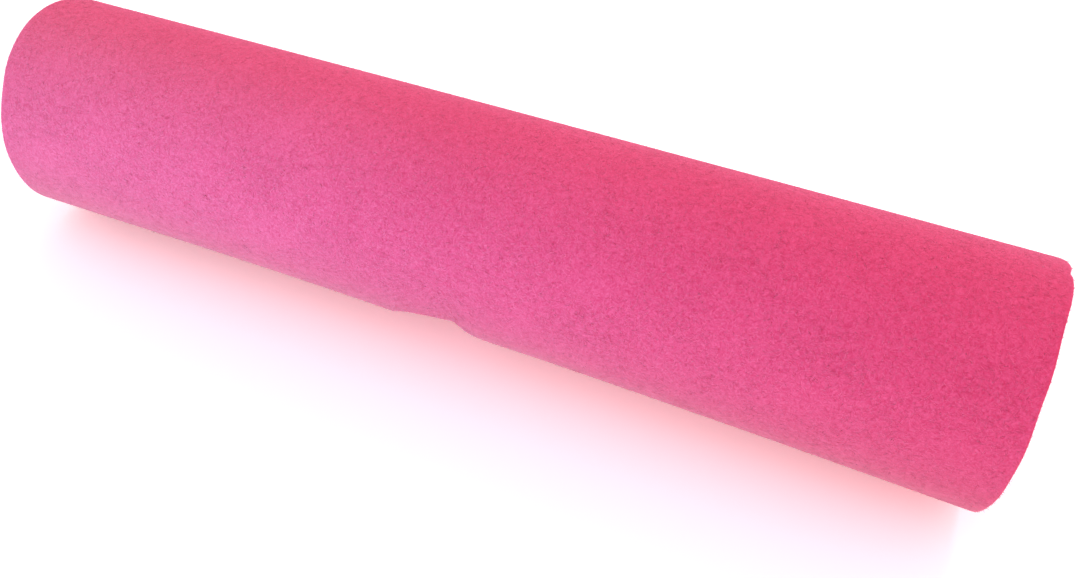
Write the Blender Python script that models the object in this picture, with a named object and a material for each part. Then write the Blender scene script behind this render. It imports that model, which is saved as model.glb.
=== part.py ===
"""Roll of craft felt: one length of thick felt wound on itself, lying on its side.

The roll lies along X. Z = 0 is the surface it rests on, and the origin is under its middle.
The wound form is one closed solid. Each station along it is one turn of a spiral, so its
surface carries the step where the free end of the felt stops, low at the front (-Y) side.
"""
import math

import bmesh
import bpy

MM = 0.001

# Driving dimensions
ROLL_LENGTH = 450 * MM
OUTER_RADIUS = 50.7 * MM  # at the free end of the felt
TURN_PITCH = 1.54 * MM  # radius added by one turn: the felt and a little air
FLAT_DEPTH = 0.65 * MM  # how far the roll is pressed flat where it rests
BOW_ACROSS = 0.4 * MM  # the roll is not quite straight: its middle stands off to +Y
BOW_UP = 0.4 * MM  # and up

# Free end of the felt, as an angle about the roll's axis: 0 is +Y, 90 is up, 180 is -Y
FREE_END_ANGLE = 222.0
BOTTOM_ANGLE = 270.0
LOOSE_SPAN = 95.0  # degrees of the last turn that stand off the roll
END_STEP_ANGLE = 1.0  # degrees that the step at the free end takes up

# Shape along the roll, from the -X end to the +X end
# share of the half length, lift of the loose felt at the free end (mm),
# how far the free end is cut back (degrees), depth of the dent under it (mm)
STATIONS = (
    (-1.000, 2.2, 0.0, 0.0),
    (-0.940, 2.0, 0.0, 0.0),
    (-0.800, 1.7, 0.0, 0.0),
    (-0.600, 1.2, 0.0, 0.0),
    (-0.400, 0.8, 0.0, 0.0),
    (-0.270, 0.8, 0.0, 0.0),
    (-0.150, 0.9, 5.0, 0.0),
    (-0.115, 0.9, 9.0, 0.0),
    (-0.095, 0.9, 17.0, 0.0),
    (-0.070, 0.9, 22.5, 0.3),
    (-0.020, 0.8, 25.0, 1.1),
    (0.034, 0.6, 27.0, 2.4),
    (0.041, 0.6, 22.0, 1.9),
    (0.050, 0.6, 15.0, 1.1),
    (0.060, 0.6, 9.0, 0.5),
    (0.080, 0.5, 2.0, 0.1),
    (0.100, 0.5, 0.0, 0.0),
    (0.200, 0.3, 0.0, 0.0),
    (0.400, 0.6, 0.0, 0.0),
    (0.600, 1.1, 0.0, 0.0),
    (0.800, 1.7, 0.0, 0.0),
    (0.940, 2.2, 0.0, 0.0),
    (1.000, 2.4, 0.0, 0.0),
)
DENT_ANGLE = 214.0  # middle of the dent
DENT_SPAN = 24.0  # degrees each way over which it fades

# Uneven ends: the outer turn's edge swings in and out twice around each end
# side, swing (mm), angle of the first place where it stands out furthest (degrees)
END_SWINGS = (
    (-1, 3.2, 64.0),
    (1, 1.4, 48.0),
)

# Rounded rim and slightly sunken face of each end, from the outer skin towards the centre
# drop below the skin (mm), distance in from the end (mm)
RIM_RINGS = (
    (0.0, 1.4),
    (0.5, 0.4),
    (1.4, 0.0),
    (3.2, 0.4),
    (9.0, 1.4),
)
CENTRE_SINK = 1.6 * MM

SECTION_STEP = 5  # degrees between points around the roll
SMOOTH_LIMIT = math.radians(40.0)

FELT_COLOUR = (0.80, 0.10, 0.27, 1.0)
FELT_ROUGHNESS = 0.95


def clear_scene():
    """Remove whatever the file holds."""
    for item in list(bpy.data.objects):
        bpy.data.objects.remove(item, do_unlink=True)


def wound_back_angles():
    """Degrees wound back from the free end, once around, ending at the foot of its step."""
    angles = [float(step) for step in range(0, 360, SECTION_STEP)]
    angles.append(360.0 - END_STEP_ANGLE)
    return angles


def axis_height():
    """Height of the roll's axis, with its lowest turn pressed flat by FLAT_DEPTH."""
    back = (FREE_END_ANGLE - BOTTOM_ANGLE) % 360.0
    return OUTER_RADIUS - TURN_PITCH * back / 360.0 - FLAT_DEPTH


def skin_radius(back, angle, lift, dent):
    """Outer radius of the spiral, `back` degrees before the free end and at an angle about the axis."""
    radius = OUTER_RADIUS - TURN_PITCH * back / 360.0
    if back < LOOSE_SPAN:
        radius += lift * (1.0 - back / LOOSE_SPAN) ** 2
    off_dent = (angle - DENT_ANGLE + 180.0) % 360.0 - 180.0
    return radius - dent * math.exp(-((off_dent / DENT_SPAN) ** 2))


def end_swing(side, angle):
    """How far the outer turn's edge stands out past the end of the roll."""
    for table_side, swing, first_crest in END_SWINGS:
        if table_side == side:
            return swing * MM * math.cos(2.0 * math.radians(angle - first_crest))
    return 0.0


def section_ring(mesh, place, station, drop=0.0, side=0, inset=0.0):
    """One closed ring of points around the roll at X = place, shaped by a row of STATIONS."""
    lift, cut_back, dent = station[1] * MM, station[2], station[3] * MM
    ring = []
    bow = 1.0 - min(abs(2.0 * place / ROLL_LENGTH), 1.0) ** 2
    for back in wound_back_angles():
        angle = FREE_END_ANGLE - cut_back - back
        radius = skin_radius(back, angle, lift, dent) - drop
        across = BOW_ACROSS * bow + radius * math.cos(math.radians(angle))
        height = axis_height() + BOW_UP * bow + radius * math.sin(math.radians(angle))
        along = place
        if side:
            along += side * (end_swing(side, angle) - inset)
        ring.append(mesh.verts.new((along, across, max(height, 0.0))))
    return ring


def bridge(mesh, ring_a, ring_b):
    """Wall of quads between two rings, the second further along +X."""
    count = len(ring_a)
    for index in range(count):
        after = (index + 1) % count
        mesh.faces.new((ring_a[index], ring_b[index], ring_b[after], ring_a[after]))


def cap(mesh, ring, side):
    """Fan that closes an end face on its centre point."""
    centre = mesh.verts.new((side * (ROLL_LENGTH / 2 - CENTRE_SINK), 0.0, axis_height()))
    count = len(ring)
    for index in range(count):
        after = (index + 1) % count
        corners = (centre, ring[index], ring[after])
        mesh.faces.new(corners if side < 0 else corners[::-1])


def end_rings(mesh, side):
    """Rings of one end, from its skin towards its centre."""
    station = STATIONS[0] if side < 0 else STATIONS[-1]
    place = side * ROLL_LENGTH / 2
    rings = []
    for drop, inset in RIM_RINGS:
        rings.append(section_ring(mesh, place, station, drop * MM, side, inset * MM))
    return rings


def wound_form():
    """Loft of all rings, closed at both ends."""
    mesh = bmesh.new()
    left = end_rings(mesh, -1)
    rings = left[::-1]
    for station in STATIONS[1:-1]:
        rings.append(section_ring(mesh, station[0] * ROLL_LENGTH / 2, station))
    rings += end_rings(mesh, 1)
    for ring_a, ring_b in zip(rings[:-1], rings[1:]):
        bridge(mesh, ring_a, ring_b)
    cap(mesh, rings[0], -1)
    cap(mesh, rings[-1], 1)
    bmesh.ops.recalc_face_normals(mesh, faces=mesh.faces)
    return mesh


def felt_material():
    """Matt pink felt."""
    material = bpy.data.materials.new("felt")
    material.use_nodes = True
    shader = material.node_tree.nodes["Principled BSDF"]
    shader.inputs["Base Color"].default_value = FELT_COLOUR
    shader.inputs["Roughness"].default_value = FELT_ROUGHNESS
    shader.inputs["Metallic"].default_value = 0.0
    return material


def build_roll():
    """The roll's node."""
    mesh = wound_form()
    data = bpy.data.meshes.new("felt_roll")
    mesh.to_mesh(data)
    mesh.free()
    data.materials.append(felt_material())
    data.shade_smooth()
    data.set_sharp_from_angle(angle=SMOOTH_LIMIT)
    roll = bpy.data.objects.new("felt_roll", data)
    bpy.context.scene.collection.objects.link(roll)


clear_scene()
build_roll()
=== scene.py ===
import math

import bpy
import numpy as np
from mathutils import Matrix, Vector


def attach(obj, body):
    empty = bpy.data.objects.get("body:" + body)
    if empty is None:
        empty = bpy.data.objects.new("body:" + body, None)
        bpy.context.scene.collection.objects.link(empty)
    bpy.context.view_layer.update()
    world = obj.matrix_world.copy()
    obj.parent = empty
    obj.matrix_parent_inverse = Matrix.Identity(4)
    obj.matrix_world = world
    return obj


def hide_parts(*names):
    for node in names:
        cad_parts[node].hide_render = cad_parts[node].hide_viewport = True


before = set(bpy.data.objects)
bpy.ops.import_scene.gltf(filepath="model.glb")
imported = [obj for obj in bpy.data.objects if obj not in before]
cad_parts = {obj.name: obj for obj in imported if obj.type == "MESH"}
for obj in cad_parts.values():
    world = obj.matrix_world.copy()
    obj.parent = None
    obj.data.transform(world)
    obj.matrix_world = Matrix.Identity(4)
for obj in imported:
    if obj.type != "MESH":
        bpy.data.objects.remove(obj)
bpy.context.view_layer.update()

MM = 0.001

# ---------------------------------------------------------------- sizes of the felt and the roll
FELT_WIDTH = 0.450
FELT_LENGTH = 5.0
FELT_THICKNESS = 1.40 * MM
THICKNESS_CHANGE = 0.03  # share of the thickness

OUTER_RADIUS = 50.7 * MM  # of the skin, at the free end
TURN_PITCH = 1.54 * MM  # the felt and a little air
FREE_END_ANGLE = 222.0
BOTTOM_ANGLE = 270.0
LOOSE_SPAN = 95.0  # degrees of the last turn that stand off the roll
BOW_ACROSS = 0.4 * MM  # the middle of the roll stands off to +Y
BOW_UP = 0.4 * MM

FLAT_DEPTH = 0.65 * MM  # how far the roll is pressed flat where it rests
PRESS_FADE = 12 * MM  # height over which the pressing dies out
GROUND_GAP = 0.02 * MM  # nothing comes closer to the table
BACK_TO_BOTTOM = (FREE_END_ANGLE - BOTTOM_ANGLE) % 360.0
AXIS_HEIGHT = OUTER_RADIUS - TURN_PITCH * BACK_TO_BOTTOM / 360.0 - FLAT_DEPTH

# The eye, where the winding began, is squeezed to an oval
EYE_RADIUS = 7 * MM
EYE_OVAL = 0.13  # share of the radius
EYE_OVAL_ANGLE = 35.0
EYE_OVAL_REACH = 6 * MM

# Share of the half length, lift of the loose felt at its free end (mm)
LIFTS = (
    (-1.00, 2.2),
    (-0.94, 2.0),
    (-0.80, 1.7),
    (-0.60, 1.2),
    (-0.40, 0.8),
    (-0.27, 0.8),
    (-0.15, 0.9),
    (-0.07, 0.9),
    (-0.02, 0.8),
    (0.034, 0.6),
    (0.06, 0.6),
    (0.08, 0.5),
    (0.10, 0.5),
    (0.20, 0.3),
    (0.40, 0.6),
    (0.60, 1.1),
    (0.80, 1.7),
    (0.94, 2.2),
    (1.00, 2.4),
)

# Share of the half length, how far the free end is cut back (degrees)
CUT_BACKS = (
    (-0.270, 0.0),
    (-0.150, 5.0),
    (-0.115, 9.0),
    (-0.095, 17.0),
    (-0.070, 22.5),
    (-0.020, 25.0),
    (0.034, 27.0),
    (0.041, 22.0),
    (0.050, 15.0),
    (0.060, 9.0),
    (0.080, 2.0),
    (0.100, 0.0),
)
CUT_BACK_REACH = 60.0  # degrees over which the felt behind the free end follows the cut
FREE_EDGE_RAGGED = 0.35  # degrees

# Dent beside the cut. Share of the half length, depth (mm)
DENTS = (
    (-0.090, 0.0),
    (-0.050, 0.5),
    (-0.020, 1.1),
    (0.010, 1.8),
    (0.034, 2.4),
    (0.041, 1.9),
    (0.050, 1.1),
    (0.060, 0.5),
    (0.075, 0.1),
    (0.090, 0.0),
)
DENT_ANGLE = 214.0
DENT_SPAN = 24.0  # degrees each way
DENT_FADE = 12.0  # turns over which it dies out inwards

# ---------------------------------------------------------------- uneven cut edges
# Side: swing of the outer turn's edge in and out (mm), angle where it stands out furthest
END_SWINGS = {-1: (3.2, 64.0), 1: (1.4, 48.0)}
SWING_FADE = 5.0  # turns
EDGE_WAVE_HEIGHT = 0.12 * MM

# Every turn but the outermost starts a little further in, and drifts along X
INNER_START = 0.8  # turns
INNER_SINK = 0.5 * MM
INNER_DRIFT = 0.5 * MM

# On the +X edge of the outer turn: a nick, and soft bulges (angle, width in degrees, height in mm)
NICK_ANGLE = 71.0
NICK_WIDTH = 2.2  # degrees
NICK_DEPTH = 0.9 * MM
BULGES = ((80.0, 12.0, 1.15), (61.0, 9.0, 1.1), (165.0, 26.0, 0.9))

# ---------------------------------------------------------------- how finely the felt is divided
FIRST_STEPS = (0.0, 0.35, 1.2)  # degrees wound back, close together at the free end
STEP_RUNS = ((0.0, 3.0), (1.25, 9.0), (12.0, 12.0))  # first turn of each run, degrees a step
STEP_SLACK = 1e-6  # so that a step that is already whole isn't repeated

# How the thickness rounds off at the cut edges and at the free end.
# Distance from the edge (mm), share of the full thickness
EDGE_PROFILE = ((0.0, 0.30), (0.2, 0.68), (0.55, 0.92), (1.3, 1.0), (6.0, 1.0))
END_PROFILE = ((0.0, 0.35), (0.3, 0.8), (1.0, 1.0))
END_HIGHLIGHT_REACH = 1.5  # mm of the free end that get the painted highlight of a cut edge

# Rows between the two edges (mm from the middle), close together where the free end is cut back
MIDDLE_ROWS = (
    -180, -140, -100, -60, -42, -33, -27, -24, -21, -17.5, -14, -10, -5, 0,
    4, 7.5, 8.5, 9.5, 11, 12.5, 14.5, 17.5, 21, 28, 50, 90, 130, 180,
)


# ---------------------------------------------------------------- small helpers
def smooth_waves(count, shortest, longest, seed):
    """A smooth random function of one variable: a sum of sines, about -1 to 1."""
    draw = np.random.default_rng(seed)
    lengths = np.exp(draw.uniform(math.log(shortest), math.log(longest), count))
    phases = draw.uniform(0.0, 2.0 * math.pi, count)

    def wave(x):
        sines = [np.sin(2.0 * math.pi * x / length + phase) for length, phase in zip(lengths, phases)]
        return sum(sines) / math.sqrt(count)

    return wave


def table(rows, at):
    """Linear reading of a two-column table."""
    return np.interp(at, [row[0] for row in rows], [row[1] for row in rows])


def half_share(along):
    """X as a share of the half length, -1 to 1."""
    return np.clip(2.0 * along / FELT_WIDTH, -1.0, 1.0)


def ease(x):
    """Smooth step from 0 at 0 to 1 at 1."""
    x = np.clip(x, 0.0, 1.0)
    return x * x * (3.0 - 2.0 * x)


def bell(angle, middle, width):
    """Smooth hump, 1 where the angle is `middle` and near 0 beyond twice the width."""
    off = (angle - middle + 180.0) % 360.0 - 180.0
    return np.exp(-((off / width) ** 2))


# ---------------------------------------------------------------- small unevenness
# Of degrees wound back
TURN_DRIFT = smooth_waves(5, 500.0, 4000.0, 3)
EDGE_WAVES = {-1: smooth_waves(5, 22.0, 120.0, 11), 1: smooth_waves(5, 22.0, 120.0, 12)}
THICKNESS_WAVE = smooth_waves(6, 70.0, 900.0, 5)

# The gap between turns changes a little, from the second turn on
GAP_WAVE = smooth_waves(6, 60.0, 700.0, 8)
GAP_HEIGHT = 0.05 * MM
GAP_START, GAP_SPAN = 330.0, 200.0  # degrees wound back

# The skin is faintly wavy, along X and around
SKIN_WAVE_ALONG = smooth_waves(4, 0.05, 0.25, 21)
SKIN_WAVE_AROUND = smooth_waves(4, 35.0, 160.0, 22)
SKIN_WAVE_HEIGHT = 0.10 * MM
SKIN_WAVE_END, SKIN_WAVE_SPAN = 250.0, 300.0  # degrees wound back

FREE_EDGE_WAVE = smooth_waves(5, 0.006, 0.05, 31)


# ---------------------------------------------------------------- shape of the wound felt
def edge_place(side, back):
    """X of the felt's cut edge at one end of the roll."""
    angle = FREE_END_ANGLE - back
    turns = back / 360.0
    swing, crest = END_SWINGS[side]
    fade = np.exp(-np.maximum(turns - 1.0, 0.0) / SWING_FADE)
    out = swing * MM * np.cos(2.0 * np.radians(angle - crest)) * fade
    out = out + EDGE_WAVE_HEIGHT * EDGE_WAVES[side](back)
    out = out - ease(turns - INNER_START) * (INNER_SINK + INNER_DRIFT * side * TURN_DRIFT(back))
    if side > 0:
        out = out - NICK_DEPTH * bell(angle, NICK_ANGLE, NICK_WIDTH) * (turns < 1.0)
        for middle, width, height in BULGES:
            out = out + height * MM * bell(angle, middle, width) * np.exp(-turns)
    return side * (FELT_WIDTH / 2.0 + out)


def skin_angle(back, along):
    """Angle about the axis, which allows for the free end being cut back."""
    follow = np.clip(1.0 - back / CUT_BACK_REACH, 0.0, 1.0)
    cut = table(CUT_BACKS, half_share(along)) + FREE_EDGE_RAGGED * FREE_EDGE_WAVE(along)
    return FREE_END_ANGLE - back - cut * follow


def wound_radius(back, depth, along, angle):
    """Distance from the axis: the spiral, its loose end, its unevenness, the dent and the eye."""
    share = half_share(along)
    radius = OUTER_RADIUS - TURN_PITCH * back / 360.0 - depth
    radius = radius + table(LIFTS, share) * MM * np.clip(1.0 - back / LOOSE_SPAN, 0.0, 1.0) ** 2
    radius = radius + GAP_HEIGHT * ease((back - GAP_START) / GAP_SPAN) * GAP_WAVE(back)
    skin = 1.0 - ease((back - SKIN_WAVE_END) / SKIN_WAVE_SPAN)
    radius = radius + SKIN_WAVE_HEIGHT * skin * SKIN_WAVE_ALONG(along) * SKIN_WAVE_AROUND(back)
    dent = table(DENTS, share) * MM * np.clip(1.0 - back / (360.0 * DENT_FADE), 0.0, 1.0)
    radius = radius - dent * bell(angle, DENT_ANGLE, DENT_SPAN)
    oval = EYE_OVAL * np.exp(-np.maximum(radius - EYE_RADIUS, 0.0) / EYE_OVAL_REACH)
    return radius * (1.0 + oval * np.cos(2.0 * np.radians(angle - EYE_OVAL_ANGLE)))


def pressed_height(height, across, bow):
    """Height above the table, with the lowest turns pressed flat by the roll's weight."""
    underside = BOW_UP * bow - FLAT_DEPTH + across ** 2 / (2.0 * OUTER_RADIUS)
    fade = np.exp(-np.maximum(height - underside, 0.0) / PRESS_FADE)
    return height + np.maximum(-underside, 0.0) * fade


def wound_place(back, depth, along):
    """Points of the wound felt."""
    angle = skin_angle(back, along)
    radius = wound_radius(back, depth, along, angle)
    bow = 1.0 - half_share(along) ** 2
    across = radius * np.cos(np.radians(angle))
    height = AXIS_HEIGHT + BOW_UP * bow + radius * np.sin(np.radians(angle))
    height = np.maximum(pressed_height(height, across, bow), GROUND_GAP + depth)
    return np.stack([along + 0.0 * radius, across + BOW_ACROSS * bow, height], axis=-1)


def winding_steps():
    """Degrees wound back at every step, until the felt is FELT_LENGTH long."""
    steps = list(FIRST_STEPS)
    length = 0.0
    while length < FELT_LENGTH and steps[-1] < 360.0 * OUTER_RADIUS / TURN_PITCH:
        turns = steps[-1] / 360.0
        stride = [step for start, step in STEP_RUNS if turns >= start][-1]
        following = (math.floor(steps[-1] / stride + STEP_SLACK) + 1) * stride
        radius = OUTER_RADIUS - TURN_PITCH * steps[-1] / 360.0 - FELT_THICKNESS / 2.0
        length += radius * math.radians(following - steps[-1])
        steps.append(following)
    return np.array(steps)


def felt_grid(steps):
    """X of every grid point, one line for each step, and the share of full thickness there."""
    low = edge_place(-1, steps)[:, None]
    high = edge_place(1, steps)[:, None]
    stretch = (high - low) / FELT_WIDTH
    columns = [low + gap * MM for gap, _ in EDGE_PROFILE]
    columns += [place * MM * stretch for place in MIDDLE_ROWS]
    columns += [high - gap * MM for gap, _ in EDGE_PROFILE[::-1]]
    edge_shares = [share for _, share in EDGE_PROFILE]
    shares = edge_shares + [1.0] * len(MIDDLE_ROWS) + edge_shares[::-1]
    return np.concatenate(columns, axis=1), np.array(shares)[None, :]


def end_cap(outer_row, inner_row):
    """Quads that close the sheet between its two faces, at one end of its length."""
    return np.stack([outer_row[:-1], inner_row[:-1], inner_row[1:], outer_row[1:]], axis=-1)


def sheet_faces(count, width):
    """Quads of the closed sheet: its two faces and cut edges, then both ends of its length."""
    outer = np.arange(count * width).reshape(count, width)
    inner = outer + count * width
    ring = np.concatenate([outer, inner[:, ::-1]], axis=1)
    after = np.roll(ring, -1, axis=1)
    walls = np.stack([ring[:-1], after[:-1], after[1:], ring[1:]], axis=-1).reshape(-1, 4)
    last = end_cap(outer[-1], inner[-1])[:, ::-1]
    return np.concatenate([walls, end_cap(outer[0], inner[0]), last])


def wound_felt(steps):
    """Points and faces of the whole wound felt, and how far each point is part of a cut, which the
    material paints paler as a highlight.
    """
    along, edge_share = felt_grid(steps)
    back = np.broadcast_to(steps[:, None], along.shape)
    end_gap = np.radians(np.minimum(back, steps[-1] - back)) * OUTER_RADIUS / MM
    end_share = table(END_PROFILE, end_gap)
    full = FELT_THICKNESS * (1.0 - THICKNESS_CHANGE * (1.0 + THICKNESS_WAVE(back)))
    lost = full * (1.0 - edge_share * end_share) / 2.0
    outer = wound_place(back, lost, along)
    inner = wound_place(back, full - lost, along)
    points = np.concatenate([outer.reshape(-1, 3), inner.reshape(-1, 3)])
    # Mask of the painted highlight on the cut edges and the free end
    cut = np.maximum(1.0 - edge_share, np.clip(1.0 - end_gap / END_HIGHLIGHT_REACH, 0.0, 1.0))
    return points, sheet_faces(*along.shape), np.tile(cut.reshape(-1), 2)


# ---------------------------------------------------------------- pieces
def make_piece(name, points, faces, material):
    """A mesh from arrays, all faces with the same number of corners. It rides on the roll's body."""
    count, corners = faces.shape
    data = bpy.data.meshes.new(name)
    data.vertices.add(len(points))
    data.vertices.foreach_set("co", np.asarray(points, dtype=np.float32).ravel())
    data.loops.add(count * corners)
    data.loops.foreach_set("vertex_index", faces.astype(np.int32).ravel())
    data.polygons.add(count)
    starts = np.arange(0, count * corners, corners, dtype=np.int32)
    data.polygons.foreach_set("loop_start", starts)
    data.update(calc_edges=True)
    data.validate()
    data.materials.append(material)
    data.shade_smooth()
    piece = bpy.data.objects.new(name, data)
    bpy.context.scene.collection.objects.link(piece)
    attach(piece, "root")
    return piece


def point_values(piece, name, values):
    """Stores one number for each point, which the material reads."""
    attribute = piece.data.attributes.new(name, "FLOAT", "POINT")
    attribute.data.foreach_set("value", np.asarray(values, dtype=np.float32))


# ---------------------------------------------------------------- fibres
SKIN_FIBRES = 46000  # in each skin piece
SKIN_PIECES = 3
SKIN_SEED = 100
END_FIBRES = 22000
FAR_END_SEED = 200
NEAR_END_SEED = 201

# Length of the fibres: typical, spread of its logarithm, shortest, longest (mm)
SKIN_FIBRE_LENGTH = (2.4, 0.45, 0.8, 6.0)
END_FIBRE_LENGTH = (0.42, 0.5, 0.15, 1.4)

FIBRE_RADIUS = 0.045 * MM
SKIN_FIBRE_WIDTHS = (0.6, 1.4)  # share of the radius
END_FIBRE_WIDTHS = (0.6, 1.3)
LEAST_SIDE = 1e-9  # keeps a fibre without a direction from dividing by zero
RIBBON_FACES = ((0, 1, 2), (1, 3, 2), (2, 3, 4), (3, 5, 4))  # a pointed ribbon with two bends

SKIN_START, SKIN_END = 0.5, 362.0  # degrees wound back
SKIN_MARGIN = 0.002  # share of the width left bare at each edge
SKIN_HEADING = 1.0  # radians either way from the roll's length, typical
SKIN_CURL = 0.9  # radians from one third of a fibre to the next, typical
FLYING_SHARE = 0.02
FLYING_LIFT = (0.25, 0.8)  # mm
FLYING_TIP = 1.3  # share of the lift
MATTED_LIFT = 0.07  # mm, typical
MATTED_LIFT_MOST = 0.22  # mm
SKIN_CLEARANCE = 0.03 * MM  # the root lies this deep, and the bends this far off the skin
TIP_DEPTH = 0.02 * MM  # of a matted fibre

EDGE_DEPTHS = (0.08, 0.92)  # share of the thickness
EDGE_LEAN_AROUND = 0.8  # share of the bend, typical
EDGE_LEAN_ACROSS = 0.6
EDGE_STAND = 0.8  # share of its length that a fibre stands out of the edge
EDGE_SPINE = (-0.3, 0.3, 0.7, 1.0)  # share of the length at the spine's points
LEAST_RADIUS = 5 * MM  # so that a lean turns a fibre near the eye no further


def fibre_lengths(draw, count, sizes):
    """Random lengths of fibres."""
    typical, spread, shortest, longest = sizes
    return np.clip(draw.lognormal(math.log(typical), spread, count), shortest, longest) * MM


def curl_path(length, heading, curl):
    """Four points along each curled fibre, as distances along X and around the roll from its root."""
    stride = length / 3.0
    across, around = [0.0 * length], [0.0 * length]
    for part in range(3):
        facing = heading + curl * (part - 1.0)
        across.append(across[-1] + stride * np.cos(facing))
        around.append(around[-1] + stride * np.sin(facing))
    return across, around


def ribbons(spine, flat_side, half_width):
    """Thin pointed ribbons along four spine points each. Their flat sides face along flat_side."""
    run = spine[3] - spine[0]
    side = np.cross(flat_side, run)
    side = side / np.maximum(np.linalg.norm(side, axis=1, keepdims=True), LEAST_SIDE)
    side = side * half_width[:, None]
    corners = [spine[0], spine[1] - side, spine[1] + side, spine[2] - side, spine[2] + side, spine[3]]
    points = np.stack(corners, axis=1).reshape(-1, 3)
    points[:, 2] = np.maximum(points[:, 2], GROUND_GAP)
    first = len(corners) * np.arange(len(run))[:, None, None]
    return points, (first + np.array(RIBBON_FACES)[None, :, :]).reshape(-1, 3)


def skin_fibres(seed):
    """Short curled fibres matted on the outer turn, a few of them flying free."""
    draw = np.random.default_rng(seed)
    count = SKIN_FIBRES
    back = draw.uniform(SKIN_START, SKIN_END, count)
    low, high = edge_place(-1, back), edge_place(1, back)
    along = low + (high - low) * draw.uniform(SKIN_MARGIN, 1.0 - SKIN_MARGIN, count)
    length = fibre_lengths(draw, count, SKIN_FIBRE_LENGTH)
    heading = draw.normal(0.0, SKIN_HEADING, count) + math.pi * draw.integers(0, 2, count)
    curl = draw.normal(0.0, SKIN_CURL, count)
    flying = draw.random(count) < FLYING_SHARE
    flying_lift = draw.uniform(*FLYING_LIFT, count)
    matted_lift = np.minimum(draw.exponential(MATTED_LIFT, count), MATTED_LIFT_MOST)
    lift = np.where(flying, flying_lift, matted_lift) * MM
    heights = (
        -SKIN_CLEARANCE,
        0.5 * lift + SKIN_CLEARANCE,
        lift + SKIN_CLEARANCE,
        np.where(flying, FLYING_TIP * lift, -TIP_DEPTH),
    )
    spine = []
    for across, around, height in zip(*curl_path(length, heading, curl), heights):
        turned = np.maximum(back + np.degrees(around / OUTER_RADIUS), 0.0)
        place = np.clip(along + across, edge_place(-1, turned), edge_place(1, turned))
        spine.append(wound_place(turned, -height, place))
    outwards = spine[1] - np.array([0.0, 0.0, AXIS_HEIGHT])
    outwards[:, 0] = 0.0
    points, faces = ribbons(spine, outwards, FIBRE_RADIUS * draw.uniform(*SKIN_FIBRE_WIDTHS, count))
    return points, faces, draw.random(count)


def end_fibres(side, steps, seed):
    """Fibres that stand out of the cut edge of every turn, at one end of the roll."""
    draw = np.random.default_rng(seed)
    count = END_FIBRES
    back = steps[-1] * (1.0 - np.sqrt(draw.random(count)))
    depth = FELT_THICKNESS * draw.uniform(*EDGE_DEPTHS, count)
    length = fibre_lengths(draw, count, END_FIBRE_LENGTH)
    lean_around = draw.normal(0.0, EDGE_LEAN_AROUND, count)
    lean_across = draw.normal(0.0, EDGE_LEAN_ACROSS, count)
    edge = edge_place(side, back)
    turn_radius = np.maximum(OUTER_RADIUS - TURN_PITCH * back / 360.0, LEAST_RADIUS)
    spine = []
    for share in EDGE_SPINE:
        bend = length * share * abs(share)
        turned = np.maximum(back + np.degrees(bend * lean_around / turn_radius), 0.0)
        stand = EDGE_STAND * length * share
        spine.append(wound_place(turned, depth + bend * lean_across, edge + side * stand))
    facing = draw.normal(0.0, 1.0, (count, 3))
    points, faces = ribbons(spine, facing, FIBRE_RADIUS * draw.uniform(*END_FIBRE_WIDTHS, count))
    return points, faces, draw.random(count)


def make_fibres(material, steps):
    """All pieces of fibre."""
    made = []
    for index in range(SKIN_PIECES):
        made.append(("fibres_skin_%d" % (index + 1), *skin_fibres(SKIN_SEED + index)))
    made.append(("fibres_far_end", *end_fibres(-1, steps, FAR_END_SEED)))
    made.append(("fibres_near_end", *end_fibres(1, steps, NEAR_END_SEED)))
    pieces = []
    for name, points, faces, tone in made:
        piece = make_piece(name, points, faces, material)
        point_values(piece, "tone", np.repeat(tone, len(points) // len(tone)))
        pieces.append(piece)
    return pieces


# ---------------------------------------------------------------- materials
FELT_DEEP = (0.360, 0.0118, 0.065, 1.0)
FELT_PALE = (0.494, 0.0465, 0.140, 1.0)
FIBRE_DEEP = (0.339, 0.0118, 0.062, 1.0)
FIBRE_PALE = (0.585, 0.0670, 0.174, 1.0)
# Painted highlight: the felt's cut edges and its free end are mixed this far towards the pale felt
# colour
CUT_EDGE_HIGHLIGHT = 0.5
SHEEN_WEIGHT = 0.20
SHEEN_ROUGHNESS = 0.6
SHEEN_TINT = (1.0, 0.60, 0.72, 1.0)

# Noise scales, in cycles a metre
SWIRL_SCALE = 160.0
FIBRE_SCALE = 1100.0
CLUMP_SCALE = 420.0
BROAD_SCALE = 14.0
SWIRL_SHIFT = (0.005, 0.005, 0.005)

# How much each noise counts in the tone, and the tones that give the deep and the pale colour
FIBRE_SHARE, CLUMP_SHARE, BROAD_SHARE = 0.9, 0.25, 0.15
TONE_SHIFT = -0.05
TONE_DEEP, TONE_PALE = 0.39, 0.86

BUMP_STRENGTH = 0.55
BUMP_HEIGHT = 0.35 * MM
CLUMP_RELIEF = 0.5

TABLE_COLOUR = (0.97, 0.87, 0.89, 1.0)
TABLE_GLOW = (0.84, 0.86, 0.90, 1.0)
TABLE_GLOW_STRENGTH = 0.20


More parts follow.
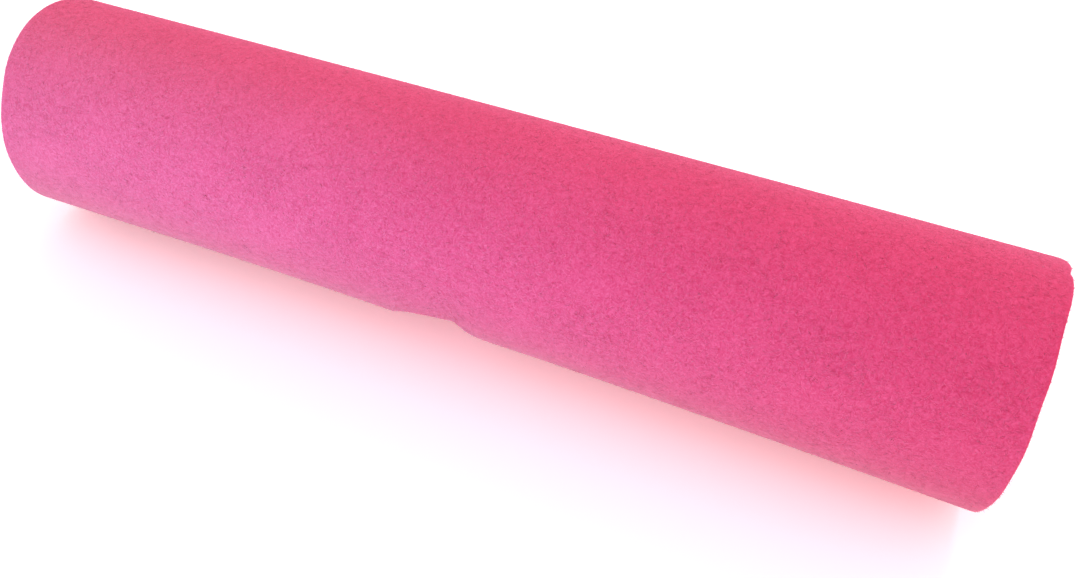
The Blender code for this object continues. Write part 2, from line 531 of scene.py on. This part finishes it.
class Graph:
    """The nodes of one new material, with short ways to add more."""

    def __init__(self, name, roughness, specular):
        self.material = bpy.data.materials.new(name)
        self.material.use_nodes = True
        self.tree = self.material.node_tree
        self.shader = self.tree.nodes["Principled BSDF"].inputs
        self.shader["Roughness"].default_value = roughness
        self.shader["Specular IOR Level"].default_value = specular

    def fill(self, socket, value):
        """Links an output to a socket, or sets the socket to a fixed value."""
        if isinstance(value, bpy.types.NodeSocket):
            self.tree.links.new(value, socket)
        else:
            socket.default_value = value

    def node(self, kind, **inputs):
        """Adds a node. Its inputs go by their names, with _ for each space."""
        made = self.tree.nodes.new(kind)
        for name, value in inputs.items():
            self.fill(made.inputs[name.replace("_", " ")], value)
        return made

    def math(self, operation, *values):
        """Output of a new Math node."""
        made = self.tree.nodes.new("ShaderNodeMath")
        made.operation = operation
        for socket, value in zip(made.inputs, values):
            self.fill(socket, value)
        return made.outputs[0]

    def shifted(self, place, direction, size):
        """A place moved by a share of a direction."""
        made = self.tree.nodes.new("ShaderNodeVectorMath")
        made.operation = "MULTIPLY_ADD"
        for socket, value in zip(made.inputs, (direction, size, place)):
            self.fill(socket, value)
        return made.outputs[0]

    def mix(self, factor, first, second):
        """Output of a new colour mix."""
        made = self.tree.nodes.new("ShaderNodeMix")
        made.data_type = "RGBA"
        colours = [socket for socket in made.inputs if socket.type == "RGBA"]
        self.fill(made.inputs["Factor"], factor)
        self.fill(colours[0], first)
        self.fill(colours[1], second)
        return [socket for socket in made.outputs if socket.type == "RGBA"][0]

    def point_value(self, name):
        """A number stored at each point of the mesh."""
        made = self.tree.nodes.new("ShaderNodeAttribute")
        made.attribute_name = name
        return made.outputs["Fac"]

    def soft_sheen(self):
        """The felt's sheen, on the shader's own sockets."""
        self.shader["Sheen Weight"].default_value = SHEEN_WEIGHT
        self.shader["Sheen Roughness"].default_value = SHEEN_ROUGHNESS
        self.shader["Sheen Tint"].default_value = SHEEN_TINT


def felt_material():
    """Needle-punched felt: matted short fibres, a soft sheen, and cut edges painted paler as a
    highlight.
    """
    graph = Graph("felt", roughness=0.95, specular=0.05)
    graph.soft_sheen()
    noise = "ShaderNodeTexNoise"
    place = graph.node("ShaderNodeTexCoord").outputs["Object"]
    swirl = graph.node(noise, Vector=place, Scale=SWIRL_SCALE, Detail=2.0).outputs["Color"]
    swirled = graph.shifted(place, swirl, SWIRL_SHIFT)
    fine = {"Detail": 3.0, "Roughness": 0.6, "Distortion": 0.6}
    fibres = graph.node(noise, Vector=swirled, Scale=FIBRE_SCALE, **fine).outputs["Fac"]
    coarse = {"Detail": 2.0, "Roughness": 0.6}
    clumps = graph.node(noise, Vector=place, Scale=CLUMP_SCALE, **coarse).outputs["Fac"]
    smooth = {"Detail": 2.0, "Roughness": 0.5}
    broad = graph.node(noise, Vector=place, Scale=BROAD_SCALE, **smooth).outputs["Fac"]

    tone = graph.math("MULTIPLY_ADD", fibres, FIBRE_SHARE, TONE_SHIFT)
    tone = graph.math("MULTIPLY_ADD", clumps, CLUMP_SHARE, tone)
    tone = graph.math("MULTIPLY_ADD", broad, BROAD_SHARE, tone)
    spread = graph.node("ShaderNodeMapRange", Value=tone, From_Min=TONE_DEEP, From_Max=TONE_PALE)
    colour = graph.mix(spread.outputs[0], FELT_DEEP, FELT_PALE)
    # Painted highlight: the cut edges and the free end are mixed towards the pale felt colour
    cut = graph.math("MULTIPLY", graph.point_value("cut"), CUT_EDGE_HIGHLIGHT)
    graph.fill(graph.shader["Base Color"], graph.mix(cut, colour, FELT_PALE))

    relief = graph.math("MULTIPLY_ADD", clumps, CLUMP_RELIEF, fibres)
    bump = graph.node("ShaderNodeBump", Strength=BUMP_STRENGTH, Distance=BUMP_HEIGHT, Height=relief)
    graph.fill(graph.shader["Normal"], bump.outputs[0])
    return graph.material


def fibre_material():
    """Single fibres of the same felt, some paler and some deeper."""
    graph = Graph("felt_fibre", roughness=0.9, specular=0.1)
    graph.soft_sheen()
    tone = graph.point_value("tone")
    graph.fill(graph.shader["Base Color"], graph.mix(tone, FIBRE_DEEP, FIBRE_PALE))
    return graph.material


def table_material():
    """Plain white light table: a pale top, lit a little from underneath."""
    graph = Graph("studio_floor", roughness=0.9, specular=0.1)
    graph.shader["Base Color"].default_value = TABLE_COLOUR
    graph.shader["Emission Color"].default_value = TABLE_GLOW
    graph.shader["Emission Strength"].default_value = TABLE_GLOW_STRENGTH
    return graph.material


# ---------------------------------------------------------------- stage, light and camera
TABLE_HALF_SIZE = 80.0
SURROUNDINGS = 1.07
ROLL_MIDDLE = Vector((0.0, 0.0, 0.05))

# Soft boxes: name, place, size, watts, colour
SOFT_BOXES = (
    ("overhead", (0.1, 0.0, 1.2), 0.8, 3.8, (1.0, 0.20, 0.43)),
    ("behind_high", (0.1, 0.9, 0.9), 0.6, 6.6, (1.0, 1.00, 1.00)),
    ("behind_low", (0.0, 1.0, 0.3), 0.6, 3.0, (1.0, 1.00, 1.00)),
    ("front", (0.6, -1.0, 0.75), 0.6, 6.6, (1.0, 0.01, 0.04)),
    ("right_end", (1.2, 0.1, 0.25), 0.6, 2.5, (1.0, 0.40, 0.46)),
    ("left_end", (-1.2, 0.1, 0.25), 0.6, 2.5, (1.0, 0.90, 0.92)),
)

# Two small ones close in front, flagged off the table so that they light only the felt
FLAGGED_BOXES = (
    ("front_low", (-0.07, -0.36, 0.15), 0.2, 2.3, (0.12, 1.0, 0.85)),
    ("left_low", (-0.38, -0.38, 0.12), 0.3, 4.0, (0.15, 1.0, 0.80)),
)

VIEW_AZIMUTH = 22.361  # degrees from -Y towards +X
VIEW_ELEVATION = 50.417
VIEW_DISTANCE = 0.43483
VIEW_AIM = Vector((0.02298, 0.01017, 0.0))
LENS_MM = 29.5475
SENSOR_MM = 36.0
CLIP_START = 0.01


def make_stage():
    """Pale table under the roll."""
    half = TABLE_HALF_SIZE
    corners = [(-half, -half, 0.0), (half, -half, 0.0), (half, half, 0.0), (-half, half, 0.0)]
    data = bpy.data.meshes.new("floor")
    data.from_pydata(corners, [], [(0, 1, 2, 3)])
    data.materials.append(table_material())
    floor = bpy.data.objects.new("floor", data)
    bpy.context.scene.collection.objects.link(floor)


def soft_box(name, place, size, power, colour):
    """One square soft box that faces the roll, and doesn't show itself."""
    data = bpy.data.lights.new(name, "AREA")
    data.size = size
    data.energy = power
    data.color = colour
    lamp = bpy.data.objects.new(name, data)
    lamp.location = place
    lamp.rotation_euler = (ROLL_MIDDLE - Vector(place)).to_track_quat("-Z", "Y").to_euler()
    lamp.visible_camera = False
    bpy.context.scene.collection.objects.link(lamp)
    return lamp


def make_light(felt_pieces):
    """White surroundings and the soft boxes."""
    world = bpy.data.worlds.new("studio")
    world.use_nodes = True
    background = world.node_tree.nodes["Background"].inputs
    background["Color"].default_value = (1.0, 1.0, 1.0, 1.0)
    background["Strength"].default_value = SURROUNDINGS
    bpy.context.scene.world = world
    for row in SOFT_BOXES:
        soft_box(*row)
    felt_only = bpy.data.collections.new("felt_only")
    for piece in felt_pieces:
        felt_only.objects.link(piece)
    for row in FLAGGED_BOXES:
        soft_box(*row).light_linking.receiver_collection = felt_only
    bpy.context.scene.view_settings.view_transform = "Standard"


def make_camera():
    """The camera, which looks down at the roll from the front and a little from its +X end."""
    azimuth = math.radians(VIEW_AZIMUTH)
    elevation = math.radians(VIEW_ELEVATION)
    back = Vector((
        math.sin(azimuth) * math.cos(elevation),
        -math.cos(azimuth) * math.cos(elevation),
        math.sin(elevation),
    ))
    data = bpy.data.cameras.new("camera")
    data.lens = LENS_MM
    data.sensor_width = SENSOR_MM
    data.clip_start = CLIP_START
    camera = bpy.data.objects.new("camera", data)
    camera.location = VIEW_AIM + back * VIEW_DISTANCE
    camera.rotation_euler = (-back).to_track_quat("-Z", "Y").to_euler()
    bpy.context.scene.collection.objects.link(camera)
    bpy.context.scene.camera = camera


# ---------------------------------------------------------------- making
winding = winding_steps()
felt_points, felt_faces, felt_edge_highlight_mask = wound_felt(winding)
felt = make_piece("felt_sheet", felt_points, felt_faces, felt_material())
# Stores where the painted highlight of the cut edges goes
point_values(felt, "cut", felt_edge_highlight_mask)
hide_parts("felt_roll")
fibre_pieces = make_fibres(fibre_material(), winding)
make_stage()
make_light([felt, *fibre_pieces])
make_camera()
